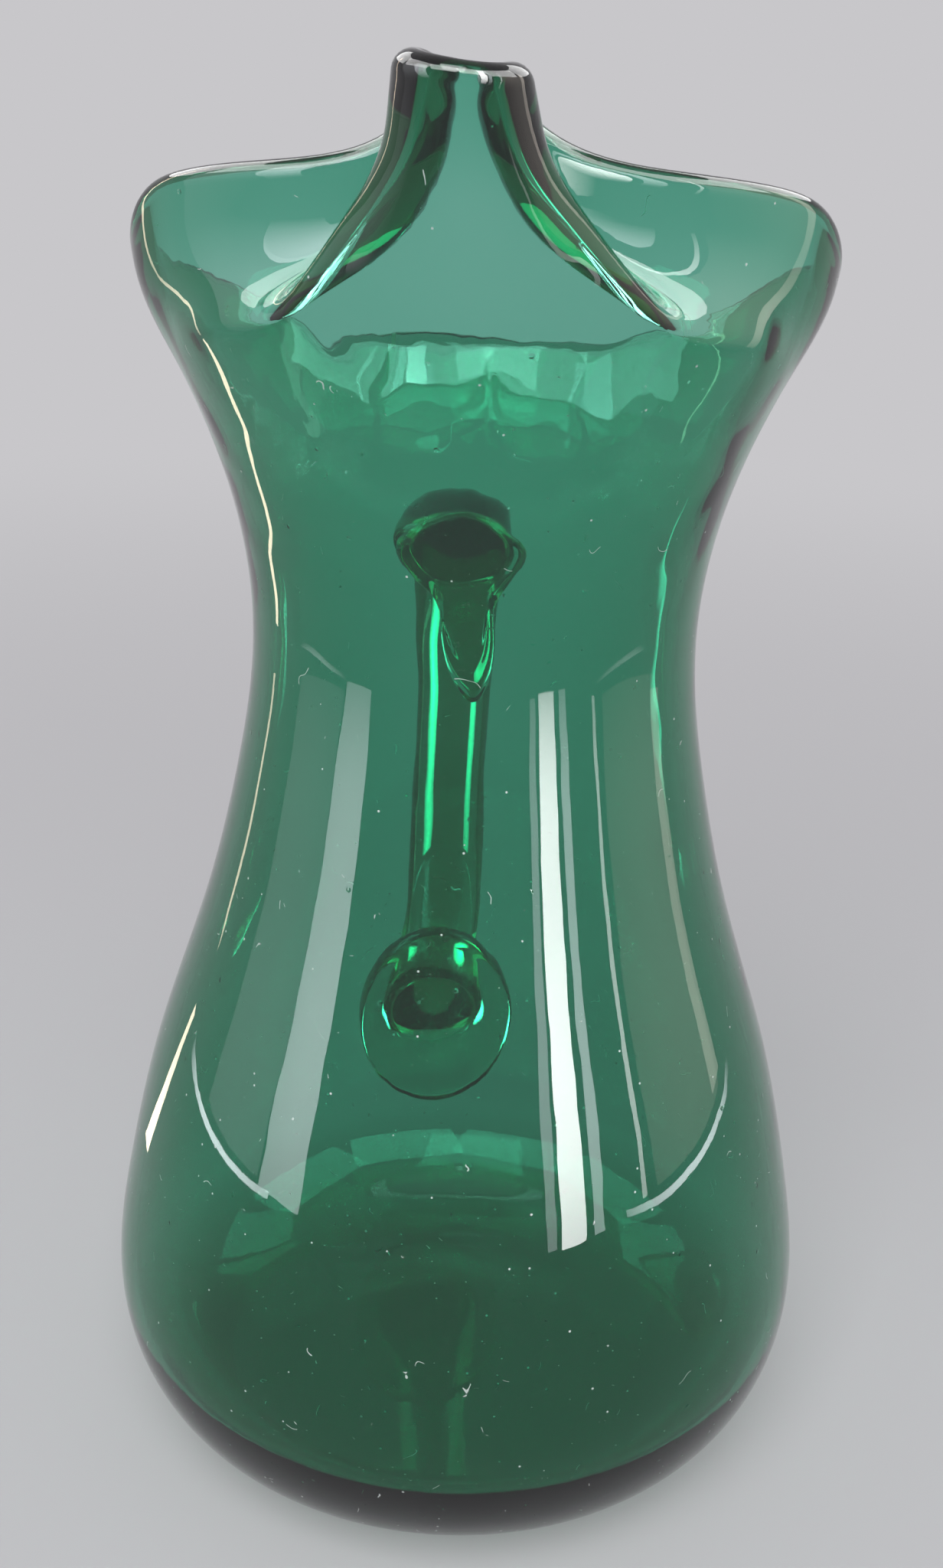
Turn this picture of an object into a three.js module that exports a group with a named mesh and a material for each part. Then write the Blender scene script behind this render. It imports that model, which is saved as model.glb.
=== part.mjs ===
// Mouth-blown glass pitcher: hourglass body with a slanted mouth drawn out into a pinched beak,
// and a solid glass handle whose two ends are pressed onto the back of the wall.
// Millimetres, +Z up. Origin in the middle of the base, on the surface that it stands on.
// The beak points to -Y and the handle to +Y.
import * as THREE from 'three';

// Driving dimensions of the round form, from the foot up
const footRadius = 34;
const heelHeight = 43;
const bellyRadius = 58.6;
const bellyHeight = 28;
const waistRadius = 34.3;
const waistHeight = 138;
const mouthRadius = 51.8;
const mouthHeight = 206;

// How the radius passes between those: [share of the height, share of the change in radius]
const bellyToWaist = [[0.18, 0.123], [0.38, 0.337], [0.6, 0.663], [0.8, 0.885]];
const waistToMouth = [[0.29, 0.13], [0.56, 0.505], [0.79, 0.89]];
const flareBeyond = [1.32, 1.06];

// Glass thickness
const wallThickness = 2.6;
const rimThickness = 3.4;
const rimThickening = 14;
const floorThickness = 5.2;
const floorFade = 24;

// The mouth is sheared on a slant: heights of its rim at the shoulders, the sides and the back
const shoulderRimHeight = 207.2;
const sideRimHeight = 193.6;
const backRimHeight = 175.4;
const shoulderAngle = 40;
const sideAngle = 95;
// Between them: [share of the angle, share of the drop]
const shoulderToSide = [[0.3, 0.25], [0.65, 0.85]];
const sideToBack = [[0.18, 0.308], [0.355, 0.703], [0.59, 0.967]];

// The beak: a small round lip, pinched behind, that opens into the mouth and leans a little
const beakReach = 17.2;
const beakShift = -3.6;
const lipHalfWidth = 7.7;
const lipFrontHeight = 218.4;
const lipSideRise = 0.8;
const lipLean = 0.5;
const lipSideSetback = 6;
const pinchGap = 3;
const pinchSetback = 13.5;
const pinchRise = -0.5;
const throatHalfWidth = 10;
const throatSetback = 18.5;
const throatDrop = 7.6;
const shoulderHalfWidth = 24.5;
const shoulderSetback = 24.5;
// Which part of the round neck is drawn into each point of the beak, in degrees from the front
const lipSideAngle = 11;
const pinchAngle = 20;
const throatAngle = 29;
// The pull forwards starts at this height and grows as a power of the way up to the rim. The pull
// sideways comes in between two shares of that way, and its folds spread as they run down.
const pullHeight = 120;
const sidewaysPull = [0.77, 0.95];
const forwardPower = 2.6;
const shiftPower = 1.6;
const shiftSpread = 38;
const foldSpread = 1.6;
// The pinch gathers the glass: thicker along the folds, over this many degrees and this far down
const foldThickening = 2;
const foldWidth = 10;
const foldDepth = 20;

// The handle's two attachments on the back wall
const fusedGap = 0.3;
const padHeight = 42;
const padHalfWidth = 15.7;
const padHalfHeight = 20.5;
const padThickness = 4.2;
const padShift = -5.8;
const tailHeight = 144;
const tailShift = -3.4;
const tailHeadHalfWidth = 15;
const tailTongueHalfWidth = 4.8;
const tailAbove = 7.5;
const tailBelow = 28.5;
const tailThickness = 3.6;
const tailLean = 3.4;
// Where the head draws in to the tongue, as the sine of the angle round the outline
const tailDrawnIn = [-0.75, 0.05];

// The handle's rod: how far its middle stands behind the waist, and its sections
const rodReach = 45.5;
const neckLength = 9;
const lowerRodWidth = 16.5;
const lowerRodDepth = 14.5;
const middleRodWidth = 16;
const middleRodDepth = 13;
const upperRodWidth = 22.5;
const upperRodDepth = 11.5;
// Where the rod's middle passes: [share of the reach, share of the height between the attachments]
const rodWay = [[0.9, 0.13], [0.99, 0.3], [1, 0.52], [0.94, 0.73], [0.76, 0.91], [0.48, 1.015]];

// How a pressed end swells from its edge to the rod: [share of its half size, share of its thickness]
const pressedProfile = [[1, 0.2], [0.99, 0.55], [0.965, 0.85], [0.91, 0.97], [0.7, 1]];
const pressedBack = [0.35, 0.7, 0.95];

// How finely the glass is divided, with the rings closer at the heel and the rim,
// and the sides closer at the beak
const bodySides = 56;
const lowerRings = 14;
const upperRings = 10;
const heelCrowding = 2;
const rimCrowding = 1.3;
const frontCrowding = 0.55;
const floorRings = [0.85, 0.45];
const handleSides = 24;
const rodSteps = 26;
const rimSteps = 5;
const slopeStep = 0.002;

const glass = { color: 0x0f5a41, roughness: 0.04, metalness: 0 };
const radians = THREE.MathUtils.degToRad;
const lerp = THREE.MathUtils.lerp;

// A smooth curve with even curvature through given values at given knots.
// With a period it closes on itself; without one its ends run out straight.
function smoothThrough(knots, values, period) {
  const count = knots.length;
  const at = period ? [...knots, knots[0] + period] : knots;
  const value = period ? [...values, values[0]] : values;
  const step = at.slice(1).map((k, i) => k - at[i]);
  const slope = step.map((h, i) => (value[i + 1] - value[i]) / h);
  const rows = knots.map((_, i) => {
    const row = new Array(count + 1).fill(0);
    if (!period && (i === 0 || i === count - 1)) {
      row[i] = 1;
      return row;
    }
    const before = (i + step.length - 1) % step.length;
    row[(i + count - 1) % count] += step[before];
    row[i] += 2 * (step[before] + step[i]);
    row[(i + 1) % count] += step[i];
    row[count] = 6 * (slope[i] - slope[before]);
    return row;
  });
  const bend = solve(rows);
  if (period) bend.push(bend[0]);
  return (x) => {
    const from = at[0];
    const place = period ? from + ((((x - from) % period) + period) % period) : x;
    let i = 0;
    while (i < step.length - 1 && place >= at[i + 1]) i += 1;
    const a = (at[i + 1] - place) / step[i];
    const b = (place - at[i]) / step[i];
    const curve = (a ** 3 - a) * bend[i] + (b ** 3 - b) * bend[i + 1];
    return a * value[i] + b * value[i + 1] + (curve * step[i] ** 2) / 6;
  };
}

// Gauss elimination on rows that end in the right-hand side
function solve(rows) {
  const count = rows.length;
  for (let i = 0; i < count; i += 1) {
    for (let j = i + 1; j < count; j += 1) {
      const share = rows[j][i] / rows[i][i];
      for (let k = i; k <= count; k += 1) rows[j][k] -= share * rows[i][k];
    }
  }
  const found = new Array(count).fill(0);
  for (let i = count - 1; i >= 0; i -= 1) {
    let rest = rows[i][count];
    for (let k = i + 1; k < count; k += 1) rest -= rows[i][k] * found[k];
    found[i] = rest / rows[i][i];
  }
  return found;
}

// Side of the round form as if it had no heel: belly, waist and flare
const belowWaist = (s) => lerp(bellyHeight, waistHeight, s);
const aboveWaist = (s) => lerp(waistHeight, mouthHeight, s);
const sideStations = [
  [0, bellyRadius],
  [bellyHeight, bellyRadius],
  ...bellyToWaist.map(([s, k]) => [belowWaist(s), lerp(bellyRadius, waistRadius, k)]),
  [waistHeight, waistRadius],
  ...waistToMouth.map(([s, k]) => [aboveWaist(s), lerp(waistRadius, mouthRadius, k)]),
  [mouthHeight, mouthRadius],
  [aboveWaist(flareBeyond[0]), lerp(waistRadius, mouthRadius, flareBeyond[1])],
];
const sideRadius = smoothThrough(sideStations.map((p) => p[0]), sideStations.map((p) => p[1]));

// The heel rounds in from the side to the foot's edge, upright at the heel's height
function formRadius(z) {
  const up = Math.min(z / heelHeight, 1);
  return footRadius + (sideRadius(z) - footRadius) * Math.sqrt(1 - (1 - up) ** 3);
}

// The rim as a closed curve round the mouth, by the angle from the front of the round neck.
// The lean lowers the beak's right side and lifts its left one.
function makeRim() {
  const lipY = -(mouthRadius + beakReach);
  const pinchHalf = pinchGap / 2 + rimThickness + foldThickening;
  const onForm = (angle, z) => {
    const r = formRadius(z);
    return [angle, r * Math.sin(radians(angle)), -r * Math.cos(radians(angle)), z];
  };
  const between = (from, to, high, low, shares) =>
    shares.map(([s, k]) => onForm(lerp(from, to, s), lerp(high, low, k)));
  const half = (lean) => [
    [0, 0, lipY, lipFrontHeight],
    [lipSideAngle, lipHalfWidth, lipY + lipSideSetback, lipFrontHeight + lipSideRise + lean],
    [pinchAngle, pinchHalf, lipY + pinchSetback, lipFrontHeight + pinchRise + lean / 2],
    [throatAngle, throatHalfWidth, lipY + throatSetback, lipFrontHeight - throatDrop],
    [shoulderAngle, shoulderHalfWidth, lipY + shoulderSetback, shoulderRimHeight],
    ...between(shoulderAngle, sideAngle, shoulderRimHeight, sideRimHeight, shoulderToSide),
    onForm(sideAngle, sideRimHeight),
    ...between(sideAngle, 180, sideRimHeight, backRimHeight, sideToBack),
    onForm(180, backRimHeight),
  ];
  const left = half(lipLean).slice(1, -1).reverse().map(([a, x, y, z]) => [360 - a, -x, y, z]);
  const round = [...half(-lipLean), ...left];
  const knots = round.map((p) => radians(p[0]));
  const along = (k) => smoothThrough(knots, round.map((p) => p[k]), 2 * Math.PI);
  return { x: along(1), y: along(2), z: along(3) };
}
const rim = makeRim();

// How far the rim at an angle is drawn off the round form
function pulledBy(angle) {
  const r = formRadius(rim.z(angle));
  return { x: rim.x(angle) - r * Math.sin(angle), y: rim.y(angle) + r * Math.cos(angle) };
}

// How far up its own meridian a point is, from the pull height to the rim
const shareUp = (angle, z) => Math.max((z - pullHeight) / (rim.z(angle) - pullHeight), 0);
const fromFront = (angle) => Math.atan2(Math.sin(angle), Math.cos(angle));

// Where on the rim the pull of a point comes from: below the rim a smaller angle from the front,
// so that the folds spread as they run down
function foldAngle(angle, z) {
  const spread = 1 - 1 / (1 + foldSpread * Math.max(1 - shareUp(angle, z), 0));
  return fromFront(angle) * (1 - (spread * (1 + Math.cos(angle))) / 2);
}

// Outside of the wall at an angle from the front and a height. Above the pull height each point
// moves from the round form as the rim does, by how far up it is.
function wallAt(angle, z) {
  const r = formRadius(z);
  const up = shareUp(angle, z);
  const pull = pulledBy(foldAngle(angle, z));
  const sideways = THREE.MathUtils.smoothstep(up, ...sidewaysPull);
  const bell = Math.exp(-((fromFront(angle) / radians(shiftSpread)) ** 2));
  const x = r * Math.sin(angle) + pull.x * sideways + beakShift * bell * up ** shiftPower;
  const y = -r * Math.cos(angle) + pull.y * up ** forwardPower;
  return new THREE.Vector3(x, y, z);
}

// Outward normal of the wall, from its slopes round the wall and up it
function wallNormal(angle, z) {
  const round = wallAt(angle + slopeStep, z).sub(wallAt(angle - slopeStep, z));
  const upward = wallAt(angle, z + slopeStep).sub(wallAt(angle, z - slopeStep));
  return round.cross(upward).normalize();
}

// Glass thickness: thick in the floor, thin in the side, thicker at the rim and along the folds
function thicknessAt(angle, z) {
  const top = rim.z(angle);
  const low = THREE.MathUtils.smoothstep(z, 0, floorFade);
  const high = THREE.MathUtils.smoothstep(z, top - rimThickening, top);
  const offFold = (Math.abs(foldAngle(angle, z)) - radians(pinchAngle)) / radians(foldWidth);
  const gathered = Math.exp(-(offFold ** 2)) * THREE.MathUtils.smoothstep(z, top - foldDepth, top);
  return lerp(floorThickness, wallThickness, low)
    + (rimThickness - wallThickness) * high
    + foldThickening * gathered;
}

// Skin over a row of rings, closed by a single point at each end
function skin(rings) {
  const points = rings.flat();
  const index = [];
  let start = 0;
  for (let i = 0; i < rings.length - 1; i += 1) {
    const a = rings[i];
    const b = rings[i + 1];
    const next = start + a.length;
    const count = Math.max(a.length, b.length);
    for (let k = 0; k < count; k += 1) {
      const m = (k + 1) % count;
      if (a.length > 1) index.push(start + k, start + m, next + (b.length > 1 ? m : 0));
      if (b.length > 1) index.push(start + (a.length > 1 ? k : 0), next + m, next + k);
    }
    start = next;
  }
  const geometry = new THREE.BufferGeometry();
  const numbers = points.flatMap((p) => p.toArray());
  geometry.setAttribute('position', new THREE.Float32BufferAttribute(numbers, 3));
  geometry.setIndex(index);
  geometry.computeVertexNormals();
  return geometry;
}

function piece(name, geometry) {
  const mesh = new THREE.Mesh(geometry, new THREE.MeshStandardMaterial(glass));
  mesh.name = name;
  return mesh;
}

const range = (count, value) => Array.from({ length: count }, (_, k) => value(k));
const ring = (count, point) => range(count, (k) => point((2 * Math.PI * k) / count));

// Body: flat foot, outside up to the rim, round rim, inside and floor in one closed skin
function pitcherBody() {
  const bodyRing = (point) => ring(bodySides, (a) => point(a - frontCrowding * Math.sin(a)));
  const flat = (r, z) => bodyRing((a) => new THREE.Vector3(r * Math.sin(a), -r * Math.cos(a), z));
  const inward = (a, z) => wallAt(a, z).addScaledVector(wallNormal(a, z), -thicknessAt(a, z));
  const lowerShares = range(lowerRings - 1, (i) => ((i + 1) / lowerRings) ** heelCrowding);
  const upperShares = range(upperRings + 1, (i) => 1 - (1 - i / upperRings) ** rimCrowding);
  const lower = (point) => lowerShares.map((s) => bodyRing((a) => point(a, s * pullHeight)));
  const upper = (point) => upperShares.map((s) => bodyRing((a) => point(a, lerp(pullHeight, rim.z(a), s))));
  const turn = (k) => bodyRing((a) => {
    const top = rim.z(a);
    const outward = wallNormal(a, top);
    const upward = wallAt(a, top).sub(wallAt(a, top - slopeStep)).normalize();
    const swing = (Math.PI * k) / rimSteps;
    const half = thicknessAt(a, top) / 2;
    return wallAt(a, top)
      .addScaledVector(outward, -half * (1 - Math.cos(swing)))
      .addScaledVector(upward, half * Math.sin(swing));
  });
  const rings = [
    [new THREE.Vector3(0, 0, 0)],
    flat(footRadius, 0),
    ...lower(wallAt),
    ...upper(wallAt),
    ...range(rimSteps - 1, (k) => turn(k + 1)),
    ...upper(inward).reverse(),
    ...lower(inward).reverse(),
    ...floorRings.map((share) => flat(footRadius * share, floorThickness)),
    [new THREE.Vector3(0, 0, floorThickness)],
  ];
  return skin(rings);
}

// A point standing off the back wall: sideways along the wall, at a height, by a distance
function offBack(sideways, z, distance) {
  const angle = Math.PI - sideways / formRadius(z);
  return wallAt(angle, z).addScaledVector(wallNormal(angle, z), distance);
}

// The rod's middle line, out of the pad, up and round, and back into the tail
function rodLine() {
  const foot = offBack(padShift, padHeight, 0);
  const head = offBack(tailShift, tailHeight, 0);
  const out = (sideways, z) => offBack(sideways, z, neckLength);
  const way = rodWay.map(([reach, up]) => new THREE.Vector3(
    lerp(foot.x, head.x, up),
    waistRadius + rodReach * reach,
    lerp(padHeight, tailHeight, up),
  ));
  const stations = [foot, out(padShift, padHeight), ...way, out(tailShift, tailHeight), head];
  const knots = [0];
  for (let i = 1; i < stations.length; i += 1) {
    knots.push(knots[i - 1] + stations[i].distanceTo(stations[i - 1]));
  }
  const along = ['x', 'y', 'z'].map((axis) => smoothThrough(knots, stations.map((p) => p[axis])));
  return {
    length: knots[knots.length - 1],
    at: (s) => new THREE.Vector3(along[0](s), along[1](s), along[2](s)),
  };
}
const line = rodLine();

// Section of the rod square to its line: an ellipse, wider than deep near the top
function rodRing(s) {
  const share = s / line.length;
  const size = (low, middle, high) => (share < 0.5
    ? lerp(low, middle, THREE.MathUtils.smoothstep(share, 0, 0.5))
    : lerp(middle, high, THREE.MathUtils.smoothstep(share, 0.5, 1)));
  const halfWidth = size(lowerRodWidth, middleRodWidth, upperRodWidth) / 2;
  const halfDepth = size(lowerRodDepth, middleRodDepth, upperRodDepth) / 2;
  const middle = line.at(s);
  const tangent = line.at(s + slopeStep).sub(line.at(s - slopeStep)).normalize();
  const across = new THREE.Vector3(1, 0, 0).addScaledVector(tangent, -tangent.x).normalize();
  const inwards = tangent.clone().cross(across);
  return ring(handleSides, (a) => middle.clone()
    .addScaledVector(across, halfWidth * Math.cos(a))
    .addScaledVector(inwards, -halfDepth * Math.sin(a)));
}

const middleOf = (points) => points
  .reduce((sum, p) => sum.add(p), new THREE.Vector3())
  .divideScalar(points.length);

// An end pressed onto the wall: a lens that follows the glass and draws in to the rod.
// outline gives [sideways, height] on the wall for an angle, from the middle outwards.
function pressedEnd(outline, middle, thickness, rodEnd) {
  const layer = (size, distance) => ring(handleSides, (a) => {
    const [sideways, z] = outline(a);
    return offBack(lerp(middle[0], sideways, size), lerp(middle[1], z, size), distance);
  });
  const front = pressedProfile.map(([size, depth]) => layer(size, thickness * depth));
  const crown = front[front.length - 1];
  return [
    [offBack(middle[0], middle[1], fusedGap)],
    ...pressedBack.map((size) => layer(size, fusedGap)),
    ...front,
    crown.map((p, k) => p.clone().lerp(rodEnd[k], 0.5)),
    rodEnd,
    [middleOf(rodEnd)],
  ];
}

// Lower end: a broad round pad on the belly
function lowerPad() {
  const outline = (a) => [
    padShift + padHalfWidth * Math.cos(a),
    padHeight + padHalfHeight * Math.sin(a),
  ];
  return skin(pressedEnd(outline, [padShift, padHeight], padThickness, rodRing(neckLength)).reverse());
}

// Upper end: a wide head drawn down the wall to a narrow tongue that leans a little
function upperTail() {
  const outline = (a) => {
    const down = (1 + Math.sin(a)) / 2;
    const drawnIn = THREE.MathUtils.smoothstep(Math.sin(a), ...tailDrawnIn);
    const half = lerp(tailHeadHalfWidth, tailTongueHalfWidth, drawnIn);
    return [
      tailShift + half * Math.cos(a) + tailLean * down,
      tailHeight + lerp(tailAbove, -tailBelow, down),
    ];
  };
  const rodEnd = rodRing(line.length - neckLength);
  return skin(pressedEnd(outline, [tailShift, tailHeight], tailThickness, rodEnd));
}

function handleRod() {
  const from = neckLength + fusedGap;
  const to = line.length - neckLength - fusedGap;
  const rings = range(rodSteps + 1, (i) => rodRing(lerp(from, to, i / rodSteps)));
  return skin([[middleOf(rings[0])], ...rings, [middleOf(rings[rodSteps])]].reverse());
}

const pitcher = new THREE.Group();
pitcher.name = 'glass_pitcher';
pitcher.add(piece('pitcher_body', pitcherBody()));
pitcher.add(piece('handle_lower_pad', lowerPad()));
pitcher.add(piece('handle_rod', handleRod()));
pitcher.add(piece('handle_upper_tail', upperTail()));

export default pitcher;
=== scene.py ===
import bpy
import numpy as np
from mathutils import Matrix, Vector


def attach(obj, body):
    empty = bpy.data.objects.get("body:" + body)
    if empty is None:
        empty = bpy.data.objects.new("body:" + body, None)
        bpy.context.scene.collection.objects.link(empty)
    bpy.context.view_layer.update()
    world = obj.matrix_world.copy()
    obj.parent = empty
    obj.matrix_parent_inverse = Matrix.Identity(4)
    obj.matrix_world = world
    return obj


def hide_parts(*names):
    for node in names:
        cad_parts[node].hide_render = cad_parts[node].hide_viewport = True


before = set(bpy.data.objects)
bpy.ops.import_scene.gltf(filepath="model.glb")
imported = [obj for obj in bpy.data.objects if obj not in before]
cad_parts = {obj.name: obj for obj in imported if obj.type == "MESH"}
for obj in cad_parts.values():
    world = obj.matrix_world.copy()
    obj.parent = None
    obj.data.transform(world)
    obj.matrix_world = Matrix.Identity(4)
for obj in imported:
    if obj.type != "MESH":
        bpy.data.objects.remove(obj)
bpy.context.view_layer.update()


# A curve with even curvature through values at knots: cubic pieces whose bends b solve
# h0 b0 + 2 (h0 + h1) b1 + h1 b2 = 6 (slope1 - slope0). With a period it closes on itself,
# without one its ends run out straight. A value may be a number or a point.
def smoothThrough(knots, values, period=None):
    knots = np.asarray(knots, float)
    values = np.asarray(values, float).reshape(len(knots), -1)
    count = len(knots)
    at = np.append(knots, knots[0] + period) if period else knots
    value = np.vstack([values, values[:1]]) if period else values
    step = np.diff(at)
    slope = np.diff(value, axis=0) / step[:, None]
    rows = np.zeros((count, count))
    right = np.zeros((count, value.shape[1]))
    for i in range(count):
        if not period and i in (0, count - 1):
            rows[i, i] = 1
            continue
        before = (i - 1) % len(step)
        rows[i, (i - 1) % count] += step[before]
        rows[i, i] += 2 * (step[before] + step[i])
        rows[i, (i + 1) % count] += step[i]
        right[i] = 6 * (slope[i] - slope[before])
    bend = np.linalg.solve(rows, right)
    if period:
        bend = np.vstack([bend, bend[:1]])

    def along(x):
        x = np.asarray(x, float)
        place = at[0] + np.mod(x - at[0], period) if period else x
        i = np.clip(np.searchsorted(at, place, side="right") - 1, 0, len(step) - 1)
        a = ((at[i + 1] - place) / step[i])[..., None]
        b = ((place - at[i]) / step[i])[..., None]
        curve = (a**3 - a) * bend[i] + (b**3 - b) * bend[i + 1]
        out = a * value[i] + b * value[i + 1] + curve * step[i][..., None] ** 2 / 6
        return out[..., 0] if value.shape[1] == 1 else out

    return along


def mix(a, b, share):
    return a + (b - a) * share


def easeIn(x, low, high):
    t = np.clip((x - low) / (high - low), 0, 1)
    return t * t * (3 - 2 * t)


def unit(v):
    return v / np.linalg.norm(v, axis=-1, keepdims=True)


body = {
    "footRadius": 0.034, "heelHeight": 0.043,
    "bellyRadius": 0.0586, "bellyHeight": 0.028, "waistRadius": 0.0343, "waistHeight": 0.138,
    "mouthRadius": 0.0518, "mouthHeight": 0.206,
    # share of the height, share of the change in radius
    "bellyToWaist": [(0.18, 0.123), (0.38, 0.337), (0.6, 0.663), (0.8, 0.885)],
    "waistToMouth": [(0.29, 0.13), (0.56, 0.505), (0.79, 0.89)],
    "flareBeyond": (1.32, 1.06),
    "wall": 0.0026, "rimWall": 0.0034, "rimThickening": 0.014,
    "floorWall": 0.0052, "floorFade": 0.024,
    # the floor's flat disc as a share of the foot, rows of points, and how closely they stand at the
    # front, the foot and the rim
    "floorShare": 0.97,
    "columns": 240, "lowerRows": 70, "upperRows": 84, "rimRows": 10, "floorRows": 10,
    "frontCrowding": 0.55, "footCrowding": 2.4, "rimCrowding": 1.2,
}

beak = {
    "reach": 0.0172, "shift": -0.0036, "lipHalfWidth": 0.0077, "lipFrontHeight": 0.2184, "lipLean": 0.0005,
    "lipSideRise": 0.0008, "lipSideSetback": 0.006, "pinchGap": 0.003, "pinchSetback": 0.0135,
    "pinchRise": -0.0005, "throatHalfWidth": 0.01, "throatSetback": 0.0185, "throatDrop": 0.0076,
    "shoulderHalfWidth": 0.0245, "shoulderSetback": 0.0245,
    # degrees from the front
    "lipSideAngle": 11, "pinchAngle": 20, "throatAngle": 29, "shoulderAngle": 40, "sideAngle": 95,
    "shoulderRim": 0.2072, "sideRim": 0.1936, "backRim": 0.1754,
    # share of the angle, share of the drop
    "shoulderToSide": [(0.3, 0.25), (0.65, 0.85)],
    "sideToBack": [(0.18, 0.308), (0.355, 0.703), (0.59, 0.967)],
    "pullHeight": 0.12, "sidewaysPull": (0.77, 0.95), "forwardPower": 2.6, "shiftPower": 1.6,
    "shiftSpread": 38, "foldSpread": 1.6, "foldThickening": 0.002, "foldWidth": 10, "foldDepth": 0.020,
}


# Side of the round form as if it had no heel: belly, waist and flare
def makeSide():
    belly, waist, mouth = body["bellyRadius"], body["waistRadius"], body["mouthRadius"]
    low, middle, high = body["bellyHeight"], body["waistHeight"], body["mouthHeight"]
    stations = [(0, belly), (low, belly)]
    stations += [(mix(low, middle, s), mix(belly, waist, k)) for s, k in body["bellyToWaist"]]
    stations += [(middle, waist)]
    stations += [(mix(middle, high, s), mix(waist, mouth, k)) for s, k in body["waistToMouth"]]
    s, k = body["flareBeyond"]
    stations += [(high, mouth), (mix(middle, high, s), mix(waist, mouth, k))]
    return smoothThrough([z for z, _ in stations], [r for _, r in stations])


sideRadius = makeSide()


# foot + (side - foot) times the root of 1 - (1 - z / heel)^3
def formRadius(z):
    foot = body["footRadius"]
    up = np.minimum(z / body["heelHeight"], 1)
    return foot + (sideRadius(z) - foot) * np.sqrt(1 - (1 - up) ** 3)


# The rim as one closed curve round the mouth, by the angle from the front of the round neck
def makeRim():
    lipY = -(body["mouthRadius"] + beak["reach"])
    front = beak["lipFrontHeight"]
    pinchHalf = beak["pinchGap"] / 2 + body["rimWall"] + beak["foldThickening"]

    def onForm(angle, z):
        r, a = formRadius(z), np.radians(angle)
        return angle, r * np.sin(a), -r * np.cos(a), z

    def between(start, end, high, low, shares):
        return [onForm(mix(start, end, s), mix(high, low, k)) for s, k in shares]

    shoulder, side = beak["shoulderAngle"], beak["sideAngle"]
    shoulderZ, sideZ, backZ = beak["shoulderRim"], beak["sideRim"], beak["backRim"]

    def half(lean):
        return np.array([
            (0, 0, lipY, front),
            (beak["lipSideAngle"], beak["lipHalfWidth"], lipY + beak["lipSideSetback"],
             front + beak["lipSideRise"] + lean),
            (beak["pinchAngle"], pinchHalf, lipY + beak["pinchSetback"],
             front + beak["pinchRise"] + lean / 2),
            (beak["throatAngle"], beak["throatHalfWidth"], lipY + beak["throatSetback"],
             front - beak["throatDrop"]),
            (shoulder, beak["shoulderHalfWidth"], lipY + beak["shoulderSetback"], shoulderZ),
            *between(shoulder, side, shoulderZ, sideZ, beak["shoulderToSide"]),
            onForm(side, sideZ),
            *between(side, 180, sideZ, backZ, beak["sideToBack"]),
            onForm(180, backZ),
        ], float)

    right = half(-beak["lipLean"])
    left = half(beak["lipLean"])[-2:0:-1] * (-1, -1, 1, 1) + (360, 0, 0, 0)
    whole = np.vstack([right, left])
    return smoothThrough(np.radians(whole[:, 0]), whole[:, 1:], 2 * np.pi)


rimAt = makeRim()


# How far the rim at an angle is drawn off the round form
def pulledBy(angle):
    rim = rimAt(angle)
    rimR = formRadius(rim[..., 2])
    return rim[..., 0] - rimR * np.sin(angle), rim[..., 1] + rimR * np.cos(angle)


# Angle from the front, and the share of the way from the pull height to the rim
def placeOf(angle, z):
    fromFront = np.arctan2(np.sin(angle), np.cos(angle))
    up = np.maximum((z - beak["pullHeight"]) / (rimAt(angle)[..., 2] - beak["pullHeight"]), 0)
    return fromFront, up


# Where on the rim the pull of a point comes from. Below the rim the folds spread, so it is a smaller
# angle: a (1 - s (1 + cos a) / 2), where s = 1 - 1 / (1 + spread (1 - up))
def foldAngle(angle, z):
    fromFront, up = placeOf(angle, z)
    spread = 1 - 1 / (1 + beak["foldSpread"] * np.maximum(1 - up, 0))
    return fromFront * (1 - spread * (1 + np.cos(angle)) / 2)


# Outside of the wall at an angle from the front and a height: the round form, drawn as the rim is,
# sideways between two shares of the way up and forwards by a power of it, and shifted sideways at
# the beak by a bell curve of the angle times a power of the way up
def wallAt(angle, z):
    r = formRadius(z)
    fromFront, up = placeOf(angle, z)
    sideways, forwards = pulledBy(foldAngle(angle, z))
    bell = np.exp(-(fromFront / np.radians(beak["shiftSpread"])) ** 2)
    x = r * np.sin(angle) + sideways * easeIn(up, *beak["sidewaysPull"])
    x = x + beak["shift"] * bell * up ** beak["shiftPower"]
    y = -r * np.cos(angle) + forwards * up ** beak["forwardPower"]
    return np.stack([x, y, z + 0 * x], -1)


tinyTurn, tinyRise = 1e-4, 1e-6


# Outward normal: the slope round the wall crossed with the slope up it, by small differences
def wallNormal(angle, z):
    around = wallAt(angle + tinyTurn, z) - wallAt(angle - tinyTurn, z)
    upward = wallAt(angle, z + tinyRise) - wallAt(angle, z - tinyRise)
    return unit(np.cross(around, upward))


# Thick in the floor, thin in the side, thicker at the rim and, by a bell curve, along the folds
def wallThickness(angle, z):
    top = rimAt(angle)[..., 2]
    low = easeIn(z, 0, body["floorFade"])
    high = easeIn(z, top - body["rimThickening"], top)
    offFold = (np.abs(foldAngle(angle, z)) - np.radians(beak["pinchAngle"])) / np.radians(beak["foldWidth"])
    gathered = np.exp(-offFold**2) * easeIn(z, top - beak["foldDepth"], top)
    plain = mix(body["floorWall"], body["wall"], low) + (body["rimWall"] - body["wall"]) * high
    return plain + beak["foldThickening"] * gathered


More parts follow.
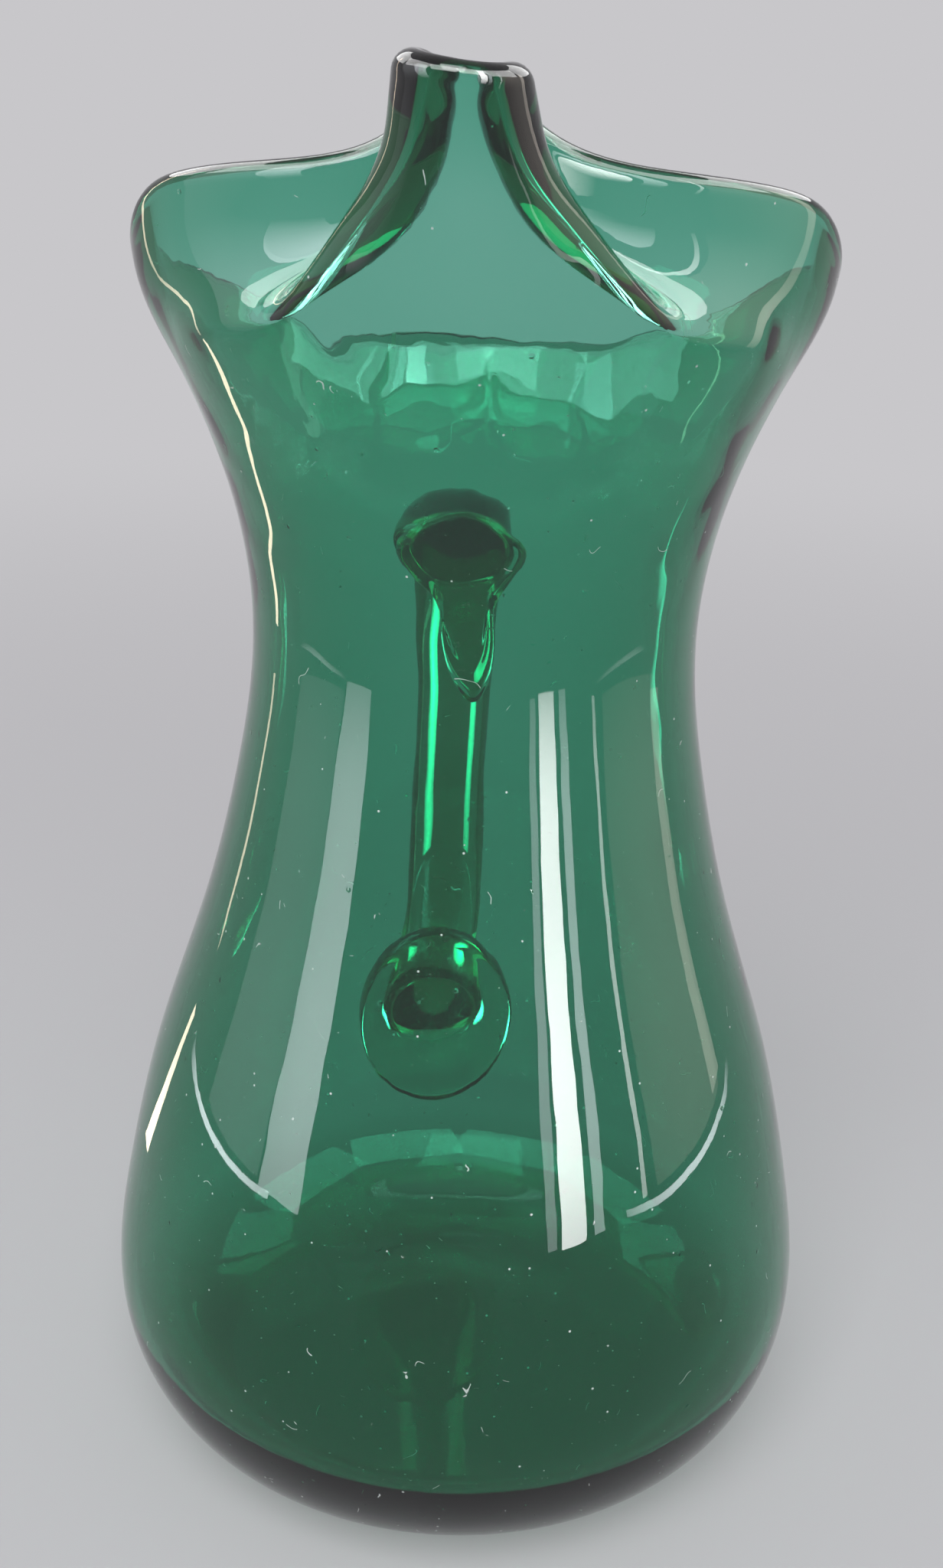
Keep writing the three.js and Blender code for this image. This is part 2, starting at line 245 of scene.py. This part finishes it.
# Rows of points joined into one closed skin, with a single point at each end
def addPiece(name, rows, first, last, material):
    count, columns = rows.shape[:2]
    points = np.vstack([rows.reshape(-1, 3), first, last])
    k = np.arange(count * columns).reshape(count, columns)
    beside = np.roll(k, -1, axis=1)
    quads = np.stack([k[:-1], beside[:-1], beside[1:], k[1:]], -1).reshape(-1, 4)
    start = np.stack([beside[0], k[0], np.full(columns, len(points) - 2)], -1)
    end = np.stack([k[-1], beside[-1], np.full(columns, len(points) - 1)], -1)
    mesh = bpy.data.meshes.new(name)
    mesh.from_pydata(points.tolist(), [], quads.tolist() + start.tolist() + end.tolist())
    mesh.polygons.foreach_set("use_smooth", np.ones(len(mesh.polygons), bool))
    mesh.update()
    piece = bpy.data.objects.new(name, mesh)
    bpy.context.scene.collection.objects.link(piece)
    piece.data.materials.append(material)
    return piece


# Flat underside, outside, round rim, inside and floor, from pole to pole. The inside is the
# outside less the thickness of the wall.
def makeBody(material):
    turn = np.arange(body["columns"]) * 2 * np.pi / body["columns"]
    angle = turn - body["frontCrowding"] * np.sin(turn)

    def flat(share, height):
        radius = body["footRadius"] * share[:, None]
        return np.stack([radius * np.sin(angle), -radius * np.cos(angle), height + 0 * radius * angle], -1)

    pull, top = beak["pullHeight"], rimAt(angle)[..., 2]
    low = np.arange(1, body["lowerRows"]) / body["lowerRows"]
    high = np.linspace(0, 1, body["upperRows"])
    lowRows = pull * low[:, None] ** body["footCrowding"] + 0 * angle
    highRows = pull + (top - pull) * (1 - (1 - high[:, None]) ** body["rimCrowding"])
    z = np.vstack([lowRows, highRows])
    a = angle + 0 * z
    outside, normal = wallAt(a, z), wallNormal(a, z)
    inside = outside - normal * wallThickness(a, z)[..., None]

    swing = np.linspace(0, np.pi, body["rimRows"] + 2)[1:-1, None, None]
    edge, outward, thick = outside[-1], normal[-1], wallThickness(angle, top)[:, None] / 2
    upward = unit(edge - wallAt(angle, top - tinyRise))
    lip = edge - outward * thick * (1 - np.cos(swing)) + upward * thick * np.sin(swing)

    share = np.linspace(1, 0, body["floorRows"] + 1)[:-1]
    rows = np.vstack([
        flat(share[::-1], 0), outside, lip, inside[::-1],
        flat(share * body["floorShare"], body["floorWall"]),
    ])
    ends = (0, 0, 0), (0, 0, body["floorWall"])
    return addPiece("blown_body", rows, *ends, material)


handle = {
    "gap": 0.00004, "padHeight": 0.042, "padHalfWidth": 0.0157, "padHalfHeight": 0.0205,
    "padThickness": 0.0042, "padShift": -0.0058,
    "tailHeight": 0.144, "tailShift": -0.0034, "tailAbove": 0.0075, "tailBelow": 0.0285, "tailLean": 0.0034,
    "tailThickness": 0.0036, "headHalfWidth": 0.015, "tongueHalfWidth": 0.0048, "drawnIn": (-0.75, 0.05),
    "reach": 0.0455, "neck": 0.009,
    "widths": (0.0165, 0.016, 0.0225), "depths": (0.0145, 0.013, 0.0115),
    # share of the reach, share of the height between the two ends
    "way": [(0.9, 0.13), (0.99, 0.3), (1, 0.52), (0.94, 0.73), (0.76, 0.91), (0.48, 1.015)],
    # share of the half size, share of the thickness, over the edge of a pressed end and where it has
    # passed into the rod; first and last share of the half size over its back
    "edge": [(0.98, 0), (1, 0.2), (0.99, 0.55), (0.965, 0.85), (0.91, 0.97), (0.8, 1)],
    "drawnTo": (0.5, 1.25), "back": (0.05, 0.88),
    # share of the neck at which the rod begins to show
    "rodStart": 0.5,
    "columns": 96, "backRows": 14, "edgeRows": 26, "neckRows": 34, "rodRows": 150,
}


# A point off the back wall: sideways along the wall, at a height, by a distance
def offBack(sideways, z, distance):
    angle = np.pi - sideways / formRadius(z)
    return wallAt(angle, z) + wallNormal(angle, z) * np.asarray(distance)[..., None]


# The same for the middle of one of the handle's ends, pad or tail
def offEnd(end, distance):
    return offBack(np.array(handle[end + "Shift"]), np.array(handle[end + "Height"]), distance)


def makeRodLine():
    foot, head = offEnd("pad", 0.0), offEnd("tail", 0.0)
    footOut, headOut = offEnd("pad", handle["neck"]), offEnd("tail", handle["neck"])
    way = [(mix(foot[0], head[0], up), body["waistRadius"] + handle["reach"] * reach,
            mix(handle["padHeight"], handle["tailHeight"], up)) for reach, up in handle["way"]]
    stations = np.array([foot, footOut, *way, headOut, head])
    knots = np.append(0, np.cumsum(np.linalg.norm(np.diff(stations, axis=0), axis=1)))
    return smoothThrough(knots, stations), knots[-1]


# Section of the rod square to its line: middle + across w/2 cos a - inwards d/2 sin a. Width w and
# depth d ease from the first to the second of their three values over half the length, and on.
def rodRing(line, length, s, a, tiny=1e-5):
    share = s / length
    width, depth = [
        np.where(share < 0.5, mix(first, middle, easeIn(share, 0, 0.5)),
                 mix(middle, last, easeIn(share, 0.5, 1)))
        for first, middle, last in (handle["widths"], handle["depths"])
    ]
    tangent = unit(line(s + tiny) - line(s - tiny))
    side = np.array([1.0, 0, 0])
    across = unit(side - tangent * (tangent @ side)[..., None])
    inwards = np.cross(tangent, across)
    return (line(s) + across * (width / 2 * np.cos(a))[..., None]
            - inwards * (depth / 2 * np.sin(a))[..., None])


# An end pressed onto the wall, from the middle of its back to the rod: the outline is drawn in to
# its middle by a size, stands off the wall by a depth, and passes into the rod's section
def pressedEnd(outline, middle, thickness, rodAt, a):
    def layer(size, depth):
        sideways, z = outline(a)
        return offBack(mix(middle[0], sideways, size), mix(middle[1], z, size), depth + 0 * a)

    gap = handle["gap"]
    back = np.linspace(*handle["back"], handle["backRows"])[:, None]
    edge = smoothThrough(np.arange(len(handle["edge"])), handle["edge"])
    over = edge(np.linspace(0, len(handle["edge"]) - 1, handle["edgeRows"]))[:, :, None]
    join = np.linspace(0, 1, handle["neckRows"])[1:, None]
    (lastSize, lastDepth), (size, depth) = handle["edge"][-1], handle["drawnTo"]
    drawn = layer(mix(lastSize, size, join), thickness * mix(lastDepth, depth, join))
    return np.vstack([
        layer(back, gap),
        layer(over[:, 0], np.maximum(over[:, 1] * thickness, gap)),
        mix(drawn, rodAt(join), easeIn(join, 0, 1)[..., None]),
    ])


def makeHandle(material):
    line, length = makeRodLine()
    neck = handle["neck"]
    a = (np.arange(handle["columns"]) * 2 * np.pi / handle["columns"])[None]

    def lowerOutline(a):
        return (handle["padShift"] + handle["padHalfWidth"] * np.cos(a),
                handle["padHeight"] + handle["padHalfHeight"] * np.sin(a))

    def upperOutline(a):
        down = (1 + np.sin(a)) / 2
        half = mix(handle["headHalfWidth"], handle["tongueHalfWidth"],
                   easeIn(np.sin(a), *handle["drawnIn"]))
        return (handle["tailShift"] + half * np.cos(a) + handle["tailLean"] * down,
                handle["tailHeight"] + mix(handle["tailAbove"], -handle["tailBelow"], down))

    lowerMiddle = handle["padShift"], handle["padHeight"]
    upperMiddle = handle["tailShift"], handle["tailHeight"]
    start = handle["rodStart"]
    lower = pressedEnd(lowerOutline, lowerMiddle, handle["padThickness"],
                       lambda join: rodRing(line, length, mix(start, 1, join) * neck, a), a)
    upper = pressedEnd(upperOutline, upperMiddle, handle["tailThickness"],
                       lambda join: rodRing(line, length, length - mix(start, 1, join) * neck, a), a)
    s = np.linspace(neck, length - neck, handle["rodRows"])[1:-1, None]
    rows = np.vstack([lower, rodRing(line, length, s, a), upper[::-1]])[:, ::-1]
    ends = [offEnd(end, handle["gap"]) for end in ("pad", "tail")]
    return addPiece("drawn_handle", rows, *ends, material)


def colour(hexCode):
    channels = np.array([int(hexCode[i:i + 2], 16) / 255 for i in (1, 3, 5)])
    linear = np.where(channels <= 0.04045, channels / 12.92, ((channels + 0.055) / 1.055) ** 2.4)
    return (*linear.tolist(), 1.0)


# Adds a node with settings, by input or by attribute, and with links from other nodes' outputs
def addNode(tree, kind, settings=None, links=None):
    node = tree.nodes.new(kind)
    for key, value in (settings or {}).items():
        if isinstance(key, int) or key in node.inputs:
            node.inputs[key].default_value = value
        else:
            setattr(node, key, value)
    for key, source in (links or {}).items():
        tree.links.new(source, node.inputs[key])
    return node.outputs


# The node tree of a material or a world, emptied
def emptyTree(owner):
    owner.use_nodes = True
    owner.node_tree.nodes.clear()
    return owner.node_tree


glass = {
    "tint": "#63DECA", "wallDensity": 680.0, "handleDensity": 235.0, "surface": "#F6FCF9", "ior": 1.52,
    # waves grow over the neck, between two heights; cords are noise drawn out along the height
    "waveSize": 0.017, "waveHeight": 0.00008, "neck": (0.125, 0.175), "neckWaves": 9.0,
    "cordSize": 0.006, "cordHeight": 0.00003, "cordStretch": 0.06,
    "handleWaves": 0.6, "handleCords": 1.5,
    "seedSpacing": 0.009, "seedSize": (0.02, 0.05), "seedHeight": 0.00005,
    # dust and lint are drawn two to three times as large as real ones, so that they show; the share
    # of cells without dust is that at the foot, and that at the height and above
    "dustSpacing": 0.0030, "dustSize": (0.04, 0.08), "cleanShare": (0.38, 0.90), "dustHeight": 0.2,
    "lintSize": 0.008, "lintWidth": (0.0015, 0.0045), "lintPatch": (0.77, 0.80), "patchesPerLint": 2.2,
    "dirtRoughness": 0.6, "dirtClearness": 0.45,
    "filmSize": 0.02, "filmNoise": (0.4, 0.75), "film": (0.004, 0.03),
}


# Soda-lime glass, coloured green in the melt, blown and fire-polished: the colour lies in its
# thickness, so it is absorbed inside. The eye gets a soft waviness, stronger in the neck, faint
# cords drawn along the height, small seeds, a thin film of handling, pale specks of dust, more of
# them towards the foot, and a few bits of lint.
def greenGlass(name, density, waviness=1.0, cords=1.0):
    material = bpy.data.materials.new(name)
    tree = emptyTree(material)
    place = addNode(tree, "ShaderNodeTexCoord")["Object"]
    soft = {"interpolation_type": "SMOOTHSTEP"}

    # dust: a dot in the middle of some cells, of more of them lower down
    cell = addNode(tree, "ShaderNodeTexVoronoi", {"Scale": 1 / glass["dustSpacing"]}, {"Vector": place})
    small, large = glass["dustSize"]
    dot = addNode(tree, "ShaderNodeMapRange",
                  {**soft, "From Min": small, "From Max": large, "To Min": 1, "To Max": 0},
                  {"Value": cell["Distance"]})[0]
    chance = addNode(tree, "ShaderNodeSeparateColor", links={"Color": cell["Color"]})["Red"]
    height = addNode(tree, "ShaderNodeSeparateXYZ", links={"Vector": place})["Z"]
    low, high = glass["cleanShare"]
    clean = addNode(tree, "ShaderNodeMapRange",
                    {"From Min": 0, "From Max": glass["dustHeight"], "To Min": low, "To Max": high},
                    {"Value": height})[0]
    dusty = addNode(tree, "ShaderNodeMath", {"operation": "GREATER_THAN"}, {0: chance, 1: clean})[0]
    specks = addNode(tree, "ShaderNodeMath", {"operation": "MULTIPLY"}, {0: dot, 1: dusty})[0]

    # lint: thin threads where a soft noise passes its middle value, kept in a few small patches
    thread = addNode(tree, "ShaderNodeTexNoise", {"Scale": 1 / glass["lintSize"]}, {"Vector": place})["Fac"]
    offMiddle = addNode(tree, "ShaderNodeMath", {"operation": "SUBTRACT", 1: 0.5}, {0: thread})[0]
    distance = addNode(tree, "ShaderNodeMath", {"operation": "ABSOLUTE"}, {0: offMiddle})[0]
    small, large = glass["lintWidth"]
    line = addNode(tree, "ShaderNodeMapRange",
                   {**soft, "From Min": small, "From Max": large, "To Min": 1, "To Max": 0},
                   {"Value": distance})[0]
    patch = addNode(tree, "ShaderNodeTexNoise",
                    {"Scale": glass["patchesPerLint"] / glass["lintSize"], "Detail": 0},
                    {"Vector": place})["Fac"]
    low, high = glass["lintPatch"]
    within = addNode(tree, "ShaderNodeMapRange", {**soft, "From Min": low, "From Max": high},
                     {"Value": patch})[0]
    lint = addNode(tree, "ShaderNodeMath", {"operation": "MULTIPLY"}, {0: line, 1: within})[0]
    dirt = addNode(tree, "ShaderNodeMath", {"operation": "MAXIMUM"}, {0: specks, 1: lint})[0]

    # film: a little rougher in soft clouds; dirt is rough, and lets less light through
    film = addNode(tree, "ShaderNodeTexNoise", {"Scale": 1 / glass["filmSize"], "Detail": 4},
                   {"Vector": place})["Fac"]
    (low, high), (least, most) = glass["filmNoise"], glass["film"]
    haze = addNode(tree, "ShaderNodeMapRange",
                   {**soft, "From Min": low, "From Max": high, "To Min": least, "To Max": most},
                   {"Value": film})[0]
    dull = addNode(tree, "ShaderNodeMath", {"operation": "MULTIPLY", 1: glass["dirtRoughness"]},
                   {0: dirt})[0]
    rough = addNode(tree, "ShaderNodeMath", {"operation": "MAXIMUM"}, {0: haze, 1: dull})[0]
    clear = addNode(tree, "ShaderNodeMapRange", {"To Min": 1, "To Max": glass["dirtClearness"]},
                    {"Value": dirt})[0]

    # waves, cords and seeds, as heights of the surface
    wave = addNode(tree, "ShaderNodeTexNoise", {"Scale": 1 / glass["waveSize"], "Detail": 1},
                   {"Vector": place})["Fac"]
    along = addNode(tree, "ShaderNodeMapping", {"Scale": (1, 1, glass["cordStretch"])},
                    {"Vector": place})[0]
    cord = addNode(tree, "ShaderNodeTexNoise", {"Scale": 1 / glass["cordSize"], "Detail": 2},
                   {"Vector": along})["Fac"]
    bubble = addNode(tree, "ShaderNodeTexVoronoi", {"Scale": 1 / glass["seedSpacing"]},
                     {"Vector": place})["Distance"]
    small, large = glass["seedSize"]
    seed = addNode(tree, "ShaderNodeMapRange",
                   {**soft, "From Min": small, "From Max": large, "To Min": 1, "To Max": 0},
                   {"Value": bubble})[0]
    low, high = glass["neck"]
    tooled = addNode(tree, "ShaderNodeMapRange",
                     {**soft, "From Min": low, "From Max": high, "To Min": 1, "To Max": glass["neckWaves"]},
                     {"Value": height})[0]
    swell = addNode(tree, "ShaderNodeMath", {"operation": "MULTIPLY"}, {0: wave, 1: tooled})[0]
    waved = addNode(tree, "ShaderNodeBump", {"Distance": glass["waveHeight"] * waviness},
                    {"Height": swell})[0]
    corded = addNode(tree, "ShaderNodeBump", {"Distance": glass["cordHeight"] * cords},
                     {"Height": cord, "Normal": waved})[0]
    seeded = addNode(tree, "ShaderNodeBump", {"Distance": glass["seedHeight"]},
                     {"Height": seed, "Normal": corded})[0]

    shader = addNode(tree, "ShaderNodeBsdfPrincipled",
                     {"Base Color": colour(glass["surface"]), "IOR": glass["ior"]},
                     {"Roughness": rough, "Transmission Weight": clear, "Normal": seeded})[0]
    inside = addNode(tree, "ShaderNodeVolumeAbsorption",
                     {"Color": colour(glass["tint"]), "Density": density})[0]
    addNode(tree, "ShaderNodeOutputMaterial", links={"Surface": shader, "Volume": inside})
    return material


studio = {
    "backdrop": "#C8C7CA", "fill": 0.75,
    # the board: its least share of plain backdrop, and the distances between which that grows to all
    "floorSize": 6.0, "floorDrop": 0.00005, "leastPlain": 0.35, "boardFade": (0.12, 0.9),
    # degrees that upright strips and low skirtings lean over, and over which they send their light
    "stripGrid": (14, 88), "skirtingGrid": (20, 88),
    # azimuth from the beak towards +X, distance, lowest and highest edge, width, radiance, colour
    "strips": {
        "rightWindow": (36, 0.31, 0.004, 0.44, 0.05, 25.0, "#FFFFFF"),
        "rightWindowEdge": (44.5, 0.31, 0.004, 0.44, 0.022, 8.0, "#F2FBFF"),
        "rightVeil": (29, 0.33, 0.004, 0.40, 0.02, 5.0, "#F4F8FF"),
        "leftWindow": (-57, 0.33, 0.004, 0.40, 0.10, 8.0, "#F4F8FF"),
        "leftSliver": (-118, 0.40, 0.004, 0.44, 0.014, 9.0, "#FFE9CC"),
        "leftVeil": (-80, 0.36, 0.004, 0.36, 0.20, 1.4, "#F4F8FF"),
        "rightSliver": (61, 0.36, 0.004, 0.42, 0.012, 9.0, "#FFFFFF"),
        "rightVeilWide": (84, 0.36, 0.004, 0.36, 0.26, 1.3, "#FFF4E6"),
        "rightBand": (101, 0.40, 0.004, 0.40, 0.05, 2.8, "#FFF4E6"),
    },
    "skirtings": {
        "leftSkirting": (-86, 0.36, 0.002, 0.009, 0.34, 26.0, "#F4F8FF"),
        "rightSkirting": (84, 0.36, 0.002, 0.009, 0.42, 22.0, "#F4F8FF"),
    },
    # a line on the ground, which carries the left streak on up the neck: azimuth, from, to, width,
    # height above the floor, radiance, colour
    "groundLines": {
        "groundLeft": (-118, 0.15, 0.40, 0.014, 0.001, 7.0, "#FFE9CC"),
    },
    # narrow beams behind, which light up the solid handle: place, aim, width, height, radiance
    "beamSpread": 19,
    "beams": {
        "beamRight": ((0.066, 0.230, 0.055), (0, 0.078, 0.105), 0.052, 0.10, 16.0),
        "beamLeft": ((-0.080, 0.230, 0.055), (0, 0.078, 0.105), 0.030, 0.10, 10.0),
        "padRight": ((0.012, 0.118, 0.012), (-0.020, 0.064, 0.042), 0.030, 0.022, 40.0),
        "padLeft": ((-0.023, 0.118, 0.012), (0.009, 0.064, 0.042), 0.030, 0.022, 40.0),
    },
    # a ring of panels high round the pitcher, which the inside of the neck reflects: distance, height,
    # how high it aims, width and height of a panel; azimuth and radiance of each
    "ringForm": (0.76, 0.70, 0.165, 0.70, 0.46),
    "ring": {
        "ringLeft": (-76, 5.0), "ringFrontLeft": (-25, 6.5), "ringFrontRight": (25, 7.5),
        "ringRight": (76, 6.0), "ringBackLeft": (-128, 4.0), "ringBackRight": (128, 4.0),
    },
    # the one lamp that lights the floor: place, aim, size, power
    "topLight": ((-0.12, -0.85, 1.05), (0, 0, 0.15), 0.8, 12.0),
}


# A lamp at a place, turned to an aim
def addLamp(name, place, aim, width, height, watts):
    lamp = bpy.data.lights.new(name, "AREA")
    lamp.shape = "RECTANGLE"
    lamp.size, lamp.size_y, lamp.energy = width, height, watts
    stand = bpy.data.objects.new(name, lamp)
    stand.location = place
    stand.rotation_euler = (Vector(aim) - Vector(place)).to_track_quat("-Z", "Y").to_euler()
    bpy.context.scene.collection.objects.link(stand)
    return stand


# A soft box with a grid, seen only in what the glass reflects or lets through. At an angle v off
# square the grid keeps 1 - tan v / tan (spread / 2) of the radiance.
def addPanel(name, place, aim, width, height, radiance, hexCode="#FFFFFF", spread=180, seenIn=("glossy",)):
    half = np.radians(spread) / 2
    watts = radiance * np.pi * width * height * (1 - half / np.tan(half))
    panel = addLamp(name, place, aim, width, height, watts)
    panel.data.spread = 2 * half
    panel.data.color = colour(hexCode)[:3]
    for ray in ("camera", "diffuse", "glossy", "transmission"):
        setattr(panel, "visible_" + ray, ray in seenIn)
    return panel


# Level direction out from the axis, at an azimuth from the beak towards +X
def outwardAt(azimuth):
    turn = np.radians(azimuth)
    return np.array([np.sin(turn), -np.cos(turn), 0])


# 1 in what the camera sees, straight or by reflection or through glass, and 0 in the light on things
def addShown(tree):
    path = addNode(tree, "ShaderNodeLightPath")
    seen = addNode(tree, "ShaderNodeMath", {"operation": "MAXIMUM"},
                   {0: path["Is Camera Ray"], 1: path["Is Glossy Ray"]})[0]
    return addNode(tree, "ShaderNodeMath", {"operation": "MAXIMUM"},
                   {0: seen, 1: path["Is Transmission Ray"]})[0]


def makeStudio():
    scene = bpy.context.scene
    scene.view_settings.view_transform = "Standard"
    tone = colour(studio["backdrop"])

    scene.world = bpy.data.worlds.new("paleRoom")
    tree = emptyTree(scene.world)
    strength = addNode(tree, "ShaderNodeMapRange", {"To Min": studio["fill"], "To Max": 1},
                       {"Value": addShown(tree)})[0]
    light = addNode(tree, "ShaderNodeBackground", {"Color": tone}, {"Strength": strength})[0]
    addNode(tree, "ShaderNodeOutputWorld", links={"Surface": light})

    # painted board: matt, lit by the lamps near the pitcher, and fading into the plain backdrop
    material = bpy.data.materials.new("mattPaintedBoard")
    tree = emptyTree(material)
    place = addNode(tree, "ShaderNodeTexCoord")["Object"]
    away = addNode(tree, "ShaderNodeVectorMath", {"operation": "LENGTH"}, {0: place})["Value"]
    near, far = studio["boardFade"]
    fade = addNode(tree, "ShaderNodeMapRange",
                   {"From Min": near, "From Max": far, "To Min": studio["leastPlain"],
                    "interpolation_type": "SMOOTHSTEP"},
                   {"Value": away})[0]
    share = addNode(tree, "ShaderNodeMath", {"operation": "MULTIPLY"}, {0: fade, 1: addShown(tree)})[0]
    paint = addNode(tree, "ShaderNodeBsdfDiffuse", {"Color": tone})[0]
    plain = addNode(tree, "ShaderNodeEmission", {"Color": tone})[0]
    both = addNode(tree, "ShaderNodeMixShader", links={0: share, 1: paint, 2: plain})[0]
    addNode(tree, "ShaderNodeOutputMaterial", links={"Surface": both})
    half, low = studio["floorSize"] / 2, -studio["floorDrop"]
    mesh = bpy.data.meshes.new("floor")
    corners = [(-half, -half, low), (half, -half, low), (half, half, low), (-half, half, low)]
    mesh.from_pydata(corners, [], [(0, 1, 2, 3)])
    floor = bpy.data.objects.new("floor", mesh)
    floor.data.materials.append(material)
    scene.collection.objects.link(floor)

    for group, grid in (("strips", "stripGrid"), ("skirtings", "skirtingGrid")):
        lean, spread = studio[grid]
        rise = np.tan(np.radians(lean))
        for name, (azimuth, distance, low, high, width, radiance, hexCode) in studio[group].items():
            place = distance * outwardAt(azimuth) + (0, 0, (low + high) / 2)
            aim = place - outwardAt(azimuth) - (0, 0, rise)
            addPanel(name, place, aim, width, high - low, radiance, hexCode, spread)
    for name, (azimuth, start, end, width, height, radiance, hexCode) in studio["groundLines"].items():
        place = (start + end) / 2 * outwardAt(azimuth) + (0, 0, height)
        panel = addPanel(name, place, place + (0, 0, 1), width, end - start, radiance, hexCode)
        panel.rotation_euler = (np.pi, 0, np.radians(azimuth))
    for name, values in studio["beams"].items():
        addPanel(name, *values, spread=studio["beamSpread"], seenIn=("transmission",))
    distance, high, aimHigh, width, height = studio["ringForm"]
    for name, (azimuth, radiance) in studio["ring"].items():
        place = distance * outwardAt(azimuth) + (0, 0, high)
        addPanel(name, place, (0, 0, aimHigh), width, height, radiance, seenIn=("glossy", "transmission"))
    place, aim, size, watts = studio["topLight"]
    addLamp("topLight", place, aim, size, size, watts).visible_camera = False


# metres before the axis and above the floor, degrees, and millimetres of lens and sensor
view = {
    "before": 0.280, "height": 0.2191, "pitch": 20.75, "roll": 1.80,
    "lens": 42.85, "sensor": 36, "shift": 0.001, "nearest": 0.01,
}


# The camera stands on the beak's side, looks down by the pitch and is rolled by the roll
def makeCamera():
    camera = bpy.data.cameras.new("camera")
    camera.sensor_fit = "VERTICAL"
    camera.sensor_height = view["sensor"]
    camera.lens = view["lens"]
    camera.shift_x = view["shift"]
    camera.clip_start = view["nearest"]
    eye = bpy.data.objects.new("camera", camera)
    pitch, roll = np.radians(view["pitch"]), np.radians(view["roll"])
    right = Vector((1, 0, 0))
    up = Vector((0, np.sin(pitch), np.cos(pitch)))
    back = right.cross(up)
    turnedRight = right * np.cos(roll) + up * np.sin(roll)
    turnedUp = up * np.cos(roll) - right * np.sin(roll)
    turned = Matrix((turnedRight, turnedUp, back)).transposed().to_4x4()
    eye.matrix_world = Matrix.Translation((0, -view["before"], view["height"])) @ turned
    bpy.context.scene.collection.objects.link(eye)
    bpy.context.scene.camera = eye


print("blowing the body")
blown = makeBody(greenGlass("blownGreenGlass", glass["wallDensity"]))
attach(blown, "root")
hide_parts("pitcher_body")

print("drawing the handle")
drawn = makeHandle(greenGlass("drawnGreenGlass", glass["handleDensity"],
                              glass["handleWaves"], glass["handleCords"]))
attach(drawn, "root")
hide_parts("handle_rod", "handle_lower_pad", "handle_upper_tail")

print("setting the studio")
makeStudio()
makeCamera()

bpy.context.view_layer.update()
